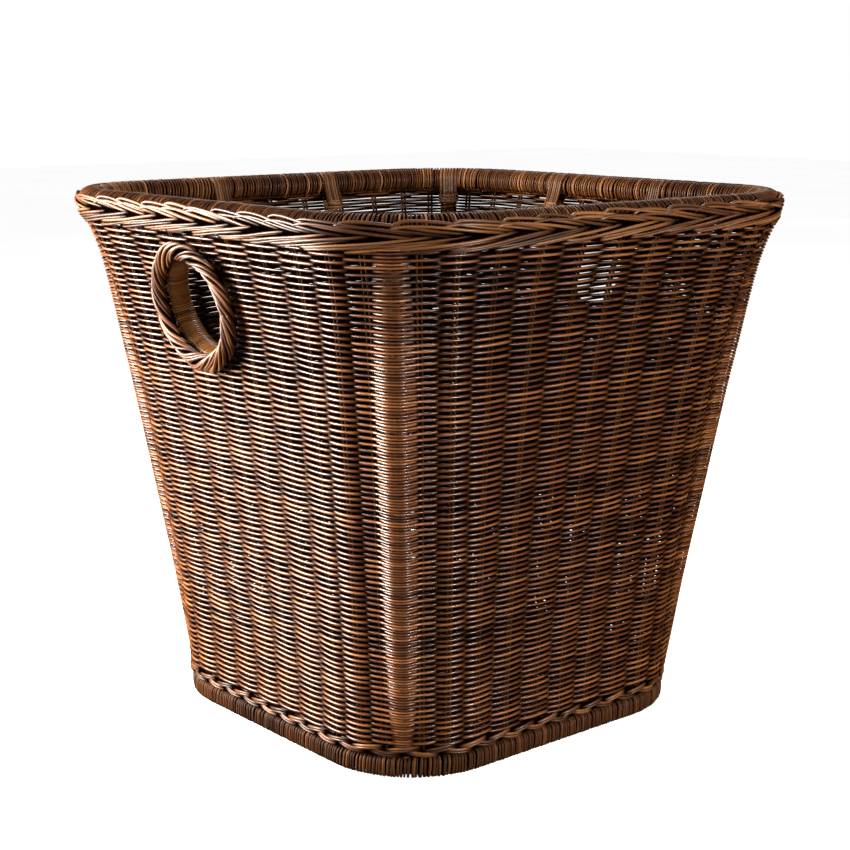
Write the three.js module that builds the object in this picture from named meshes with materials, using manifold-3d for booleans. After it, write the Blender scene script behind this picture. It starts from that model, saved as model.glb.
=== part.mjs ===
// Tapered, rounded-square rattan wastebasket with two hand holes.
// Units are millimetres, +Z is up, and the origin is the centre of the footprint on the floor.
import * as THREE from 'three';
import { mergeVertices } from 'three/addons/utils/BufferGeometryUtils.js';
import Module from 'manifold-3d';

const wasm = await Module();
wasm.setup();

// Overall
const FIT_GAP = 0.3;               // clearance between pieces that touch
const ARC_STEPS = 6;               // facets in each rounded corner of a ring
const SIDES = ['right', 'back', 'left', 'front'];        // anticlockwise from +X
const CORNERS = ['right_back', 'left_back', 'left_front', 'right_front'];

// Woven wall: outer half width, corner radius and corner-post centre at each height
const WALL_LEVELS = [
  { z: 20.5, half: 129.0, corner: 60, post: 105.0 },
  { z: 45, half: 130.2, corner: 60, post: 108.0 },
  { z: 80, half: 133.2, corner: 60, post: 112.2 },
  { z: 140, half: 140.0, corner: 60, post: 120.3 },
  { z: 200, half: 147.6, corner: 60, post: 128.4 },
  { z: 240, half: 153.8, corner: 60, post: 134.3 },
  { z: 264, half: 158.4, corner: 60, post: 137.8 },
  { z: 285, half: 163.0, corner: 61, post: 141.3 },
  { z: 300, half: 167.4, corner: 62, post: 144.9 },
  { z: 313.6, half: 172.6, corner: 64, post: 149.5 },
];
const WALL_THICKNESS = 5.2;
const WALL_TOP_THICKNESS = 3.6;    // the weave thins where it passes outside the rim pole
const RIB_RADIUS = 9.5;            // weave bulging round a corner post
const WEAVE_OVER_POST = 1.8;

// Poles
const CORNER_POST_RADIUS = 6.2;
const SIDE_POST_RADIUS = 5;
const SIDE_POST_GAP = 0.8;         // between a side post and the weave behind it
const SIDE_POST_SPREAD = 0.27;     // distance from the middle of a side, as a share of half width
const FRONT_POST_SPREAD = 0.29;
const FRONT_POST_SHIFT = -0.1;     // the front pair stands either side of its hand hole
const POST_BOTTOM = 14;
const POST_TOP = 312;

// Rim: a round pole bound with cane, and a plaited border outside it
const RIM = { half: 168.7, corner: 64, z: 322, poleRadius: 5.8, bindingRadius: 7.8 };
const BORDER_THICKNESS = 3.2;
const BORDER_BOTTOM = 314.6;
const BORDER_TOP = 326;
const BINDING_SLIT = 1;            // the seam of a binding, so that it is a sleeve and not a shell

// Foot: a hoop bound with cane, and a twisted wale above it
const FOOT = { half: 122.2, corner: 56.6, width: 13, height: 13, hoopRadius: 4.3 };
const NOTCH_CLEARANCE = 1;         // round a post, where the wale and the base pass it
const WALE = { bottom: 13.3, top: 20.2, width: 7, standOut: 1.8 };

// Rim ties: flat cane over the rim at every post
const TIE_THICKNESS = 1.1;
const TIE_BOTTOM = 307.5;
const SIDE_TIE_WIDTH = 11;
const CORNER_TIE_WIDTH = 13;
const CORNER_TIE_CLEARANCE = 1;   // a straight band has to clear the rim's curve
const POST_END_RISE = 3.4;         // how far a leaning post's cut end rises on its inner side

// Hand holes, one in the front (-Y) wall and one in the back wall
const HANDLE = { frontX: -16, backX: 0, z: 267.5, holeRadius: 28.5, liftRatio: 0.96 };
const HANDLE_BRAID = { ring: 35.6, halfWidth: 7.1, halfDepth: 4.8 };
const HANDLE_HOOP = { ring: 32.9, radius: 4.6 };

// Base
const BASE_PANEL = { bottom: 13.6, thickness: 4.2, half: 122.5, corner: 57.5 };
const BASE_BAR = { radius: 4, offset: 40, length: 230, z: 9 };

const COLOURS = {
  weave: 0x7a4a2a,
  border: 0x8a5a34,
  rimCane: 0x5a3620,
  footCane: 0x5c3a22,
  pole: 0x9a6a3c,
  tie: 0x8f6238,
  handle: 0x8a5a34,
  base: 0x6e4428,
};

function material(colour, roughness) {
  return new THREE.MeshStandardMaterial({ color: colour, roughness, metalness: 0 });
}

// Cubic Hermite value of one column of WALL_LEVELS at a height, held steady past either end.
function wallValue(key, height) {
  const last = WALL_LEVELS.length - 1;
  const z = THREE.MathUtils.clamp(height, WALL_LEVELS[0].z, WALL_LEVELS[last].z);
  let i = 0;
  while (i < last - 1 && z > WALL_LEVELS[i + 1].z) i += 1;
  const slope = (k) => {
    const below = WALL_LEVELS[Math.max(k - 1, 0)];
    const above = WALL_LEVELS[Math.min(k + 1, last)];
    return (above[key] - below[key]) / (above.z - below.z);
  };
  const a = WALL_LEVELS[i];
  const b = WALL_LEVELS[i + 1];
  const span = b.z - a.z;
  const t = (z - a.z) / span;
  const t2 = t * t;
  const t3 = t2 * t;
  return (2 * t3 - 3 * t2 + 1) * a[key] + (t3 - 2 * t2 + t) * span * slope(i)
    + (3 * t2 - 2 * t3) * b[key] + (t3 - t2) * span * slope(i + 1);
}

const wallSlope = (z) => (wallValue('half', z + 1) - wallValue('half', z - 1)) / 2;

function wallThickness(z) {
  const share = THREE.MathUtils.smoothstep(z, 285, 313);
  return THREE.MathUtils.lerp(WALL_THICKNESS, WALL_TOP_THICKNESS, share);
}

// A closed solid through a list of sections, each a list of the same number of Vector3.
// A ring joins the last section to the first; otherwise both ends are capped.
function loft(sections, isRing) {
  const count = sections[0].length;
  const points = sections.flat();
  const index = [];
  const steps = isRing ? sections.length : sections.length - 1;
  for (let s = 0; s < steps; s += 1) {
    const near = s * count;
    const far = ((s + 1) % sections.length) * count;
    for (let k = 0; k < count; k += 1) {
      const next = (k + 1) % count;
      index.push(near + k, far + k, far + next);
      index.push(near + k, far + next, near + next);
    }
  }
  if (!isRing) {
    const outline = sections[0].map((p) => new THREE.Vector2(p.x, p.y));
    const isAnticlockwise = !THREE.ShapeUtils.isClockWise(outline);
    const top = (sections.length - 1) * count;
    for (const [a, b, c] of THREE.ShapeUtils.triangulateShape(outline, [])) {
      index.push(...(isAnticlockwise ? [a, b, c] : [a, c, b]));
      index.push(...(isAnticlockwise ? [top + a, top + c, top + b] : [top + a, top + b, top + c]));
    }
  }
  const geometry = new THREE.BufferGeometry().setFromPoints(points);
  geometry.setIndex(index);
  return facingOut(geometry);
}

// Turns every face over when the solid's signed volume is negative.
function facingOut(geometry) {
  const position = geometry.getAttribute('position');
  const index = geometry.getIndex();
  const [a, b, c] = [new THREE.Vector3(), new THREE.Vector3(), new THREE.Vector3()];
  let volume = 0;
  for (let i = 0; i < index.count; i += 3) {
    a.fromBufferAttribute(position, index.getX(i));
    b.fromBufferAttribute(position, index.getX(i + 1));
    c.fromBufferAttribute(position, index.getX(i + 2));
    volume += a.dot(b.cross(c));
  }
  if (volume < 0) {
    for (let i = 0; i < index.count; i += 3) {
      const swap = index.getX(i);
      index.setX(i, index.getX(i + 1));
      index.setX(i + 1, swap);
    }
  }
  return geometry;
}

function asSolid(geometry) {
  const bare = geometry.clone();
  bare.deleteAttribute('normal');
  bare.deleteAttribute('uv');
  const merged = mergeVertices(bare, 1e-4);
  return new wasm.Manifold(new wasm.Mesh({
    numProp: 3,
    vertProperties: new Float32Array(merged.getAttribute('position').array),
    triVerts: new Uint32Array(merged.getIndex().array),
  }));
}

function asGeometry(solid) {
  const mesh = solid.getMesh();
  const geometry = new THREE.BufferGeometry();
  geometry.setAttribute('position', new THREE.BufferAttribute(mesh.vertProperties, 3));
  geometry.setIndex(new THREE.BufferAttribute(mesh.triVerts, 1));
  return geometry;
}

// Stations round a rounded square: each has a point and the outward direction there.
function roundedSquare(half, corner) {
  const stations = [];
  for (let side = 0; side < 4; side += 1) {
    for (let i = 0; i <= ARC_STEPS; i += 1) {
      const angle = (side + i / ARC_STEPS) * Math.PI / 2;
      const turn = side * Math.PI / 2 + Math.PI / 4;
      const centre = (half - corner) * Math.SQRT2;
      const out = new THREE.Vector3(Math.cos(angle), Math.sin(angle), 0);
      const point = new THREE.Vector3(Math.cos(turn), Math.sin(turn), 0).multiplyScalar(centre)
        .addScaledVector(out, corner);
      stations.push({ point, out });
    }
  }
  return stations;
}

// A section, as [outward offset, height] pairs, carried round a rounded square.
function ring(half, corner, section) {
  const sections = roundedSquare(half, corner).map(({ point, out }) => section.map(
    ([offset, z]) => point.clone().addScaledVector(out, offset).setZ(z),
  ));
  return loft(sections, true);
}

function arcPoints(radius, z, from, to, steps) {
  return Array.from({ length: steps + 1 }, (_, i) => {
    const angle = THREE.MathUtils.lerp(from, to, i / steps);
    return [radius * Math.cos(angle), z + radius * Math.sin(angle)];
  });
}

const fullCircle = (radius, z, steps) => arcPoints(radius, z, 0, 2 * Math.PI, steps).slice(0, -1);

// A binding's section: a sleeve with a narrow seam at the given angle.
function sleeve(outer, inner, z, seam, steps) {
  const outerSeam = BINDING_SLIT / 2 / outer;
  const innerSeam = BINDING_SLIT / 2 / inner;
  const whole = 2 * Math.PI;
  return [
    ...arcPoints(outer, z, seam + outerSeam, seam + whole - outerSeam, steps),
    ...arcPoints(inner, z, seam + whole - innerSeam, seam + innerSeam, steps - 3),
  ];
}

// How far the surface lies outside the base contour where a post's round form pushes it out.
function bulge(point, out, postCentre, radius) {
  const toPoint = point.clone().sub(postCentre);
  const along = toPoint.dot(out);
  const root = along * along - toPoint.lengthSq() + radius * radius;
  return root < 0 ? -Infinity : -along + Math.sqrt(root);
}

// Where the plan is sampled between the end of the straight side and the corner's diagonal,
// closer together over the post's rib.
const CORNER_SHARES = [0, 0.3, 0.58, 0.7, 0.77, 0.84, 0.92, 1];

// Half of one wall's plan at a height, from the middle of the +X side towards its +Y corner.
function halfContour(z) {
  const half = wallValue('half', z);
  const corner = wallValue('corner', z);
  const post = wallValue('post', z);
  const postCentre = new THREE.Vector3(post, post, 0);
  const contour = [];
  const straightEnd = half - corner;
  const add = (point, out) => {
    const outer = Math.max(0, bulge(point, out, postCentre, RIB_RADIUS));
    const clear = bulge(point, out, postCentre, RIB_RADIUS - WEAVE_OVER_POST);
    const inner = Math.max(-wallThickness(z), clear);
    contour.push({
      outer: point.clone().addScaledVector(out, outer).setZ(z),
      inner: point.clone().addScaledVector(out, inner).setZ(z),
    });
  };
  const sideways = new THREE.Vector3(1, 0, 0);
  add(new THREE.Vector3(half, 0, 0), sideways);
  const seam = Math.PI / 4 - Math.asin(FIT_GAP / 2 / corner);
  for (const share of CORNER_SHARES) {
    const angle = seam * share;
    const out = new THREE.Vector3(Math.cos(angle), Math.sin(angle), 0);
    add(new THREE.Vector3(straightEnd, straightEnd, 0).addScaledVector(out, corner), out);
  }
  return contour;
}

function wallSection(z) {
  const half = halfContour(z);
  const mirror = (p) => new THREE.Vector3(p.x, -p.y, p.z);
  const outer = half.map((p) => p.outer);
  const inner = half.map((p) => p.inner);
  return [
    ...outer.slice(1).reverse().map(mirror),
    ...outer,
    ...inner.slice().reverse(),
    ...inner.slice(1).map(mirror),
  ];
}

const WALL_HEIGHTS = [20.5, 45, 80, 140, 200, 240, 264, 285, 300, 307, 313.6];
const PANEL = loft(WALL_HEIGHTS.map(wallSection), false);

// The +X panel turned to one of the four sides.
function wallPanel(turn, holeX) {
  const panel = PANEL.clone().rotateZ(turn);
  if (holeX === undefined) return panel;
  const side = Math.sign(Math.sin(turn));
  const hole = new THREE.CylinderGeometry(1, 1, 60, 32);
  hole.scale(HANDLE.holeRadius, 1, HANDLE.holeRadius * HANDLE.liftRatio);
  hole.translate(holeX, side * wallValue('half', HANDLE.z), HANDLE.z);
  return asGeometry(asSolid(panel).subtract(asSolid(hole)));
}

// A point at a depth outside the front or back wall, above (x, z) measured in the wall's surface.
function onWall(side, x, z, depth) {
  const outward = new THREE.Vector3(0, side, -wallSlope(z)).normalize();
  return new THREE.Vector3(x, side * wallValue('half', z), z).addScaledVector(outward, depth);
}

// A ring round a hand hole, lying on the wall, with an elliptical section.
function handleRing(side, centreX, radius, halfWidth, halfDepth, depth) {
  const steps = 24;
  const sides = 8;
  const sections = [];
  for (let i = 0; i < steps; i += 1) {
    const angle = i / steps * 2 * Math.PI;
    const section = [];
    for (let k = 0; k < sides; k += 1) {
      const turn = (k + 0.5) / sides * 2 * Math.PI;
      const reach = radius + halfWidth * Math.cos(turn);
      const x = centreX + reach * Math.cos(angle);
      const z = HANDLE.z + reach * HANDLE.liftRatio * Math.sin(angle);
      section.push(onWall(side, x, z, depth + halfDepth * Math.sin(turn)));
    }
    sections.push(section);
  }
  return loft(sections, true);
}

const circleShape = (radius) => new THREE.Shape().absarc(0, 0, radius, 0, 2 * Math.PI);

// Centre of a post at a height, before it is turned to its own side of the basket.
function sidePostCentre(z, spread) {
  const half = wallValue('half', z);
  const leaning = Math.hypot(1, wallSlope(z));
  const inset = wallThickness(z) + SIDE_POST_GAP + SIDE_POST_RADIUS * leaning;
  return new THREE.Vector3(half - inset, spread * half, z);
}

// How far along its side each of a wall's two posts stands, as a share of half width.
function postSpreads(side) {
  if (side !== 'front') return { first: -SIDE_POST_SPREAD, second: SIDE_POST_SPREAD };
  return { first: FRONT_POST_SHIFT - FRONT_POST_SPREAD, second: FRONT_POST_SHIFT + FRONT_POST_SPREAD };
}

function cornerPostCentre(z) {
  const post = wallValue('post', z);
  return new THREE.Vector3(post, post, z);
}

function postGeometry(centreAt, radius, sides) {
  const heights = [POST_BOTTOM, ...WALL_LEVELS.slice(0, -1).map((level) => level.z), POST_TOP];
  const path = new THREE.CatmullRomCurve3(heights.map(centreAt));
  return new THREE.ExtrudeGeometry(circleShape(radius), {
    steps: 14, curveSegments: sides, extrudePath: path,
  });
}

// Flat cane over the rim's inner side and down onto the post below it.
// The profile is in the plane of the post: outward offset from the rim's centre, then height.
function tieGeometry(postInnerOffset, width, clearance) {
  const inside = RIM.bindingRadius + clearance;
  const outside = inside + TIE_THICKNESS;
  const from = THREE.MathUtils.degToRad(62);
  const to = Math.PI;
  const shoulder = POST_TOP + POST_END_RISE;
  const atShoulder = postInnerOffset(POST_TOP) - clearance;
  const atBottom = postInnerOffset(TIE_BOTTOM) - clearance;
  const profile = [
    ...arcPoints(outside, RIM.z, from, to, 8),
    [atShoulder - TIE_THICKNESS, shoulder],
    [atBottom - TIE_THICKNESS, TIE_BOTTOM],
    [atBottom, TIE_BOTTOM],
    [atShoulder, shoulder],
    ...arcPoints(inside, RIM.z, to, from, 8),
  ];
  const shape = new THREE.Shape(profile.map(([offset, z]) => new THREE.Vector2(offset, z)));
  const geometry = new THREE.ExtrudeGeometry(shape, { depth: width, bevelEnabled: false });
  geometry.translate(0, 0, -width / 2);
  geometry.rotateX(Math.PI / 2);
  return geometry;
}

// Upright cylinders round every post's foot, wide enough to clear it.
function postNotches(middle, depth) {
  return SIDES.flatMap((side, k) => {
    const spreads = Object.values(postSpreads(side));
    const feet = spreads.map((spread) => [sidePostCentre(middle, spread), SIDE_POST_RADIUS]);
    feet.push([cornerPostCentre(middle), CORNER_POST_RADIUS]);
    return feet.map(([centre, radius]) => {
      const reach = radius + NOTCH_CLEARANCE;
      const notch = new THREE.CylinderGeometry(reach, reach, depth, 16).rotateX(Math.PI / 2);
      return notch.translate(centre.x, centre.y, middle).rotateZ(k * Math.PI / 2);
    });
  });
}

function withNotches(geometry, middle, depth) {
  const cut = (solid, notch) => solid.subtract(asSolid(notch));
  return asGeometry(postNotches(middle, depth).reduce(cut, asSolid(geometry)));
}

function basePanelGeometry() {
  const shape = new THREE.Shape(
    roundedSquare(BASE_PANEL.half, BASE_PANEL.corner)
      .map(({ point }) => new THREE.Vector2(point.x, point.y)),
  );
  const plate = new THREE.ExtrudeGeometry(shape, { depth: BASE_PANEL.thickness, bevelEnabled: false });
  plate.translate(0, 0, BASE_PANEL.bottom);
  return withNotches(plate, BASE_PANEL.bottom + BASE_PANEL.thickness / 2, 3 * BASE_PANEL.thickness);
}

const basket = new THREE.Group();

function addPiece(name, geometry, finish) {
  const mesh = new THREE.Mesh(geometry, finish);
  mesh.name = name;
  basket.add(mesh);
  return mesh;
}

function addWalls() {
  const holes = { front: HANDLE.frontX, back: HANDLE.backX };
  SIDES.forEach((side, k) => {
    const panel = wallPanel(k * Math.PI / 2, holes[side]);
    addPiece(`${side}_woven_wall`, panel, material(COLOURS.weave, 0.5));
  });
}

function addPosts() {
  for (let k = 0; k < 4; k += 1) {
    const turn = k * Math.PI / 2;
    for (const [label, spread] of Object.entries(postSpreads(SIDES[k]))) {
      const geometry = postGeometry((z) => sidePostCentre(z, spread), SIDE_POST_RADIUS, 4);
      addPiece(`${SIDES[k]}_post_${label}`, geometry, material(COLOURS.pole, 0.5)).rotation.z = turn;
    }
    const cornerGeometry = postGeometry(cornerPostCentre, CORNER_POST_RADIUS, 5);
    addPiece(`${CORNERS[k]}_corner_post`, cornerGeometry, material(COLOURS.pole, 0.5)).rotation.z = turn;
  }
}

function addTies() {
  const rimDiagonal = (RIM.half - RIM.corner) * Math.SQRT2 + RIM.corner;
  const leanAt = (z) => Math.hypot(1, wallSlope(z));
  const sideInner = (z) => sidePostCentre(z, 0).x - SIDE_POST_RADIUS * leanAt(z) - RIM.half;
  const cornerInner = (z) => wallValue('post', z) * Math.SQRT2
    - CORNER_POST_RADIUS * leanAt(z) - rimDiagonal;
  for (let k = 0; k < 4; k += 1) {
    const turn = k * Math.PI / 2;
    for (const [label, spread] of Object.entries(postSpreads(SIDES[k]))) {
      const tie = tieGeometry(sideInner, SIDE_TIE_WIDTH, FIT_GAP);
      const across = spread * wallValue('half', POST_TOP);
      tie.translate(RIM.half, across, 0);
      addPiece(`${SIDES[k]}_tie_${label}`, tie, material(COLOURS.tie, 0.4)).rotation.z = turn;
    }
    const cornerTie = tieGeometry(cornerInner, CORNER_TIE_WIDTH, CORNER_TIE_CLEARANCE);
    cornerTie.translate(rimDiagonal, 0, 0);
    const mesh = addPiece(`${CORNERS[k]}_corner_tie`, cornerTie, material(COLOURS.tie, 0.4));
    mesh.rotation.z = turn + Math.PI / 4;
  }
}

function addRim() {
  const down = -Math.PI / 2;
  const binding = sleeve(RIM.bindingRadius, RIM.poleRadius + FIT_GAP, RIM.z, down, 11);
  addPiece('rim_pole', ring(RIM.half, RIM.corner, fullCircle(RIM.poleRadius, RIM.z, 8)),
    material(COLOURS.pole, 0.5));
  addPiece('rim_binding', ring(RIM.half, RIM.corner, binding), material(COLOURS.rimCane, 0.35));
  addPiece('rim_border', ring(RIM.half, RIM.corner, borderSection()), material(COLOURS.border, 0.45));
}

// The plaited border hugs the outside of the bound rim.
function borderSection() {
  const inside = RIM.bindingRadius + FIT_GAP;
  const outside = inside + BORDER_THICKNESS;
  const angleAt = (z, radius) => Math.asin((z - RIM.z) / radius);
  const lower = BORDER_BOTTOM + 1;
  return [
    ...arcPoints(outside, RIM.z, angleAt(lower, outside), angleAt(BORDER_TOP, outside), 5),
    ...arcPoints(inside, RIM.z, angleAt(BORDER_TOP, inside), angleAt(lower, inside), 5),
    [inside * Math.cos(angleAt(lower, inside)) + 0.8, BORDER_BOTTOM],
    [outside * Math.cos(angleAt(lower, outside)) - 0.6, BORDER_BOTTOM],
  ];
}

function addFoot() {
  const reach = FOOT.width / 2;
  const flat = reach - 2;
  const seam = BINDING_SLIT / 2;
  const hollow = FOOT.hoopRadius + FIT_GAP;
  const middle = FOOT.height / 2;
  const up = Math.PI / 2;
  const seamAngle = seam / hollow;
  const section = [
    [seam, FOOT.height], [flat, FOOT.height], [reach, FOOT.height - 2], [reach, 2], [flat, 0],
    [-flat, 0], [-reach, 2], [-reach, FOOT.height - 2], [-flat, FOOT.height], [-seam, FOOT.height],
    ...arcPoints(hollow, middle, up + seamAngle, up + 2 * Math.PI - seamAngle, 9),
  ];
  addPiece('foot_hoop', ring(FOOT.half, FOOT.corner, fullCircle(FOOT.hoopRadius, middle, 8)),
    material(COLOURS.pole, 0.5));
  addPiece('foot_binding', ring(FOOT.half, FOOT.corner, section), material(COLOURS.footCane, 0.5));

  const waleOuter = reach + WALE.standOut;
  const waleInner = waleOuter - WALE.width;
  const waleMiddle = (WALE.bottom + WALE.top) / 2;
  const wale = ring(FOOT.half, FOOT.corner, [
    [waleInner, WALE.bottom], [waleOuter - 1.5, WALE.bottom], [waleOuter, waleMiddle],
    [waleOuter - 1.5, WALE.top], [waleInner, WALE.top],
  ]);
  addPiece('foot_wale', withNotches(wale, waleMiddle, 3 * WALE.width), material(COLOURS.border, 0.5));
}

function addHandles() {
  const walls = { front: [-1, HANDLE.frontX], back: [1, HANDLE.backX] };
  for (const [label, [side, x]] of Object.entries(walls)) {
    const braidDepth = HANDLE_BRAID.halfDepth + FIT_GAP;
    const hoopDepth = -(WALL_THICKNESS + FIT_GAP + HANDLE_HOOP.radius);
    const { ring: braidRing, halfWidth, halfDepth } = HANDLE_BRAID;
    const { ring: hoopRing, radius } = HANDLE_HOOP;
    const braid = handleRing(side, x, braidRing, halfWidth, halfDepth, braidDepth);
    const hoop = handleRing(side, x, hoopRing, radius, radius, hoopDepth);
    addPiece(`${label}_handle_braid`, braid, material(COLOURS.handle, 0.45));
    addPiece(`${label}_handle_hoop`, hoop, material(COLOURS.tie, 0.4));
  }
}

function addBase() {
  addPiece('base_panel', basePanelGeometry(), material(COLOURS.base, 0.6));
  const bars = { left: -BASE_BAR.offset, right: BASE_BAR.offset };
  for (const [label, x] of Object.entries(bars)) {
    const bar = new THREE.CylinderGeometry(BASE_BAR.radius, BASE_BAR.radius, BASE_BAR.length, 12);
    addPiece(`base_bar_${label}`, bar, material(COLOURS.pole, 0.5)).position.set(x, 0, BASE_BAR.z);
  }
}

addWalls();
addPosts();
addTies();
addRim();
addFoot();
addHandles();
addBase();

export default basket;
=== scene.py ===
"""A tapered rattan wastebasket: woven walls, cane-wound rim and foot, plaited trim.

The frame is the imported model's: +Z up, floor at z = 0. Shapes are worked out in millimetres
and turned into metres when a mesh is made.
"""
import math

import bpy
import numpy as np
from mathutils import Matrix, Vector


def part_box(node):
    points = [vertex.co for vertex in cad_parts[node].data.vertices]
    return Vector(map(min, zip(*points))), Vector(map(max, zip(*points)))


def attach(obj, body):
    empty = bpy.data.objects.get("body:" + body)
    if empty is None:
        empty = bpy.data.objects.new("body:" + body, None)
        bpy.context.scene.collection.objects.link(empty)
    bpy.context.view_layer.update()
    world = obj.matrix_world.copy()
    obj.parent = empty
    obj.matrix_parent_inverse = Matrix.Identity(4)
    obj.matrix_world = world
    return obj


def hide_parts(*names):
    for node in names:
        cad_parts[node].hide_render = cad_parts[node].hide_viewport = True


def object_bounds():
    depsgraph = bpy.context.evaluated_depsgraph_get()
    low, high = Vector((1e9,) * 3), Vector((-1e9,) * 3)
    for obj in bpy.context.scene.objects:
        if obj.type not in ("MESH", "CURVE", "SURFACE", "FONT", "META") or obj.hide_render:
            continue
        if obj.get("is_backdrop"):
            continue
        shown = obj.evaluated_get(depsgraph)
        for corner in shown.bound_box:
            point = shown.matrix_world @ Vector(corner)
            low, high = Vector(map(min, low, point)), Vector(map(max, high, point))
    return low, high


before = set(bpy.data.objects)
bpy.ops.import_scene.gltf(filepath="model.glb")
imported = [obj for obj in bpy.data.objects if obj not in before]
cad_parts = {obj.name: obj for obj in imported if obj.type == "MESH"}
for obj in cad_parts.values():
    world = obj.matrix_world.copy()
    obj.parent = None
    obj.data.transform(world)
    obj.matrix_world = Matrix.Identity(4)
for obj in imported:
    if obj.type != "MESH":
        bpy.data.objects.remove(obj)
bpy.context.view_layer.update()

rng = np.random.default_rng(20)

MM = 0.001
UP = np.array([0.0, 0.0, 1.0])

# Woven wall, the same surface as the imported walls: height, outer half width, corner radius,
# and the corner post's distance from the middle along X and Y.
WALL = np.array([
    [20.5, 129.0, 60, 105.0],
    [45, 130.2, 60, 108.0],
    [80, 133.2, 60, 112.2],
    [140, 140.0, 60, 120.3],
    [200, 147.6, 60, 128.4],
    [240, 153.8, 60, 134.3],
    [264, 158.4, 60, 137.8],
    [285, 163.0, 61, 141.3],
    [300, 167.4, 62, 144.9],
    [313.6, 172.6, 64, 149.5],
])
HALF, CORNER, POST = 1, 2, 3           # columns of WALL after the height
WALL_THICKNESS = 5.2
WALL_TOP_THICKNESS = 3.6
WEAVE_START_Z, WEAVE_END_Z = 21.0, 313.4
RIB_RADIUS = 8.6                       # outside of the rows where they bend round a corner post
RIB_SHIFT = 0.9                        # their bend's middle lies this far outside the post's
CORNER_POST_RADIUS = 6.2
SIDE_POST_RADIUS = 5.0
SIDE_POST_GAP = 0.8                    # between a side post and the weave

# Stake pairs of one side, as shares of the way from its middle to the corner's diagonal.
PAIR_SHARES = [0.0, 0.187, 0.39, 0.59, 0.765, 0.905]
CORNER_INDEX = len(PAIR_SHARES)
SAMPLES_PER_PAIR = 10
STAKE_RADIUS, STAKE_OFFSET = 0.85, 1.25
REED_RADIUS = 0.88
ROWS_PER_BAND = 8

# Middle lines of the rim pole and the foot hoop: outer half width, corner radius and height.
RIM_HALF, RIM_CORNER, RIM_Z = 168.7, 64.0, 322.0
FOOT_HALF, FOOT_CORNER, FOOT_Z = 122.2, 56.6, 6.5

# Sides and corners are counted anticlockwise: side 0 faces +X, corner 0 is at its far end.
SIDES = ("right", "back", "left", "front")
CORNERS = ("right_back", "left_back", "left_front", "right_front")
BACK, FRONT = 1, 3

HOLE_X = {FRONT: -16.0, BACK: 0.0}
HOLE_Z = 267.5
HOLE_LIFT = 0.96                       # a hand hole's height as a share of its width
WEAVE_ENDS_AT = 33.0                   # the weave stops under the hand hole's rope ring


# ---- surfaces -------------------------------------------------------------------------------

def wall_value(column, height):
    """Cubic Hermite value of one column of WALL, held steady past either end."""
    heights, values = WALL[:, 0], WALL[:, column]
    last = len(heights) - 1
    below = np.maximum(np.arange(last + 1) - 1, 0)
    above = np.minimum(np.arange(last + 1) + 1, last)
    slopes = (values[above] - values[below]) / (heights[above] - heights[below])
    z = np.clip(height, heights[0], heights[-1])
    i = np.clip(np.searchsorted(heights, z, side="right") - 1, 0, last - 1)
    span = heights[i + 1] - heights[i]
    t = (z - heights[i]) / span
    return (
        (2 * t**3 - 3 * t**2 + 1) * values[i]
        + (t**3 - 2 * t**2 + t) * span * slopes[i]
        + (3 * t**2 - 2 * t**3) * values[i + 1]
        + (t**3 - t**2) * span * slopes[i + 1]
    )


def smoothstep(x, low, high):
    """0 below low, 1 above high, and a smooth rise between them."""
    t = np.clip((x - low) / (high - low), 0, 1)
    return t * t * (3 - 2 * t)


def wall_thickness(z):
    """The weave is thinner where it flares out under the rim."""
    return WALL_THICKNESS + (WALL_TOP_THICKNESS - WALL_THICKNESS) * smoothstep(z, 285, 313)


def wall_slope(z):
    """How far the wall leans outwards for each millimetre of height."""
    return (wall_value(HALF, z + 1) - wall_value(HALF, z - 1)) / 2


def side_length(half, corner):
    """Half of one side of a rounded square, from its middle to the corner's diagonal."""
    return half - corner + corner * math.pi / 4


def diagonal_reach(half, corner):
    """Distance from the middle of a rounded square to its outline, along a diagonal."""
    return (half - corner) * math.sqrt(2) + corner


def turned(x, y, side):
    """(x, y) on the +X side, carried round to another side."""
    angle = side * math.pi / 2
    return x * np.cos(angle) - y * np.sin(angle), x * np.sin(angle) + y * np.cos(angle)


def outward(side, diagonal=False):
    """Direction out of the middle of a side, or out of its corner."""
    length = math.sqrt(0.5) if diagonal else 1.0
    return np.array([*turned(length, length if diagonal else 0.0, side), 0.0])


def rounded_square(half, corner, side, share):
    """Plan point and outward direction on a rounded square's outline.

    share runs from -1 to 1 between the two diagonals at a side's ends, by length.
    """
    straight = half - corner
    along = np.abs(share) * (straight + corner * math.pi / 4)
    angle = np.maximum(along - straight, 0) / corner
    sign = np.sign(share)
    x = straight + corner * np.cos(angle)
    y = sign * (np.minimum(along, straight) + corner * np.sin(angle))
    x, y = turned(x, y, side)
    out_x, out_y = turned(np.cos(angle), sign * np.sin(angle), side)
    return x, y, out_x, out_y


def stacked(x, y, z):
    """Points from coordinates given as numbers or arrays."""
    return np.stack(np.broadcast_arrays(x, y, z), axis=-1).astype(float)


def ring_place(half, corner, turn):
    """Centre and outward direction at a turn of 0 to 4 round a rounded square, one a side."""
    side = np.round(turn)
    x, y, out_x, out_y = rounded_square(half, corner, side, 2 * (turn - side))
    return stacked(x, y, 0 * x), stacked(out_x, out_y, 0 * x)


def on_wall(side, x, z, depth):
    """A point a depth outside the front or back wall's outer surface, near its middle."""
    sign = -1.0 if side == FRONT else 1.0
    slope = wall_slope(z)
    lean = np.hypot(1, slope)
    y = sign * (wall_value(HALF, z) + depth / lean)
    return stacked(x, y, z - depth * slope / lean)


def in_hand_hole(side, points, reach):
    """True where points on the front or back wall are within reach of its hand hole's centre."""
    across = points[..., 0] - HOLE_X[side]
    up = (points[..., 2] - HOLE_Z) / HOLE_LIFT
    return np.hypot(across, up) < reach


# ---- meshes ---------------------------------------------------------------------------------

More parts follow.
